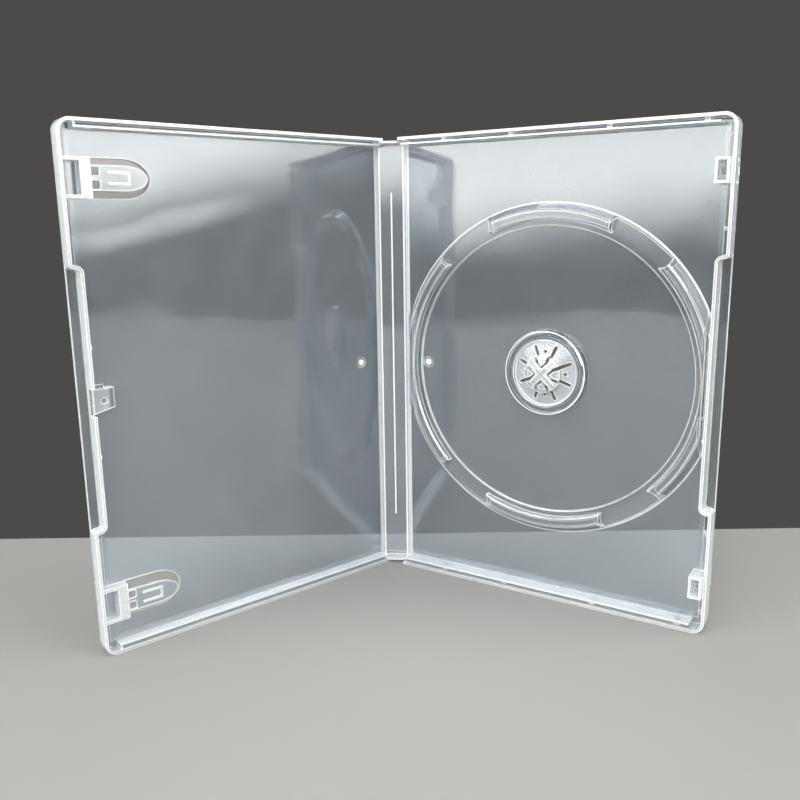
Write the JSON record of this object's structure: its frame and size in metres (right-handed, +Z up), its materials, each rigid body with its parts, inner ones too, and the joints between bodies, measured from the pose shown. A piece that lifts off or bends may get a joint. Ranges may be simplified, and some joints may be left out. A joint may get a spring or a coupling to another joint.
{
  "type": "disc keep case",
  "caption": "Clear hinged keep case for a disc, standing open: tray with a sprung disc hub, narrow spine, cover with booklet clips, and a clear film sleeve over the outside.",
  "frame": {"origin": "middle of the tray's foot, below the disc hub, on the surface the case stands on", "axes": "+Z up along the hinges, -Y out of the tray along the disc hub's axis, +X from the tray's hinge to its free edge"},
  "size_m": [0.1884, 0.1357, 0.19],
  "materials": {
    "clear_case": "clear moulded polypropylene, polished",
    "film": "clear glossy film"
  },
  "bodies": {
    "tray": {"tray": "clear_case", "sleeve_back": "film"},
    "spine": {"spine": "clear_case", "sleeve_spine": "film"},
    "cover": {"cover": "clear_case", "sleeve_front": "film"}
  },
  "joints": [
    {"name": "tray_hinge", "type": "hinge", "parent": "tray", "child": "spine", "pos_m": [-0.0665, 0.0034, 0.095], "axis": [0, 0, 1], "range_deg": [-25, 65]},
    {"name": "cover_hinge", "type": "hinge", "parent": "spine", "child": "cover", "pos_m": [-0.0781, -0.00201, 0.095], "axis": [0, 0, 1], "range_deg": [-47, 43]}
  ]
}
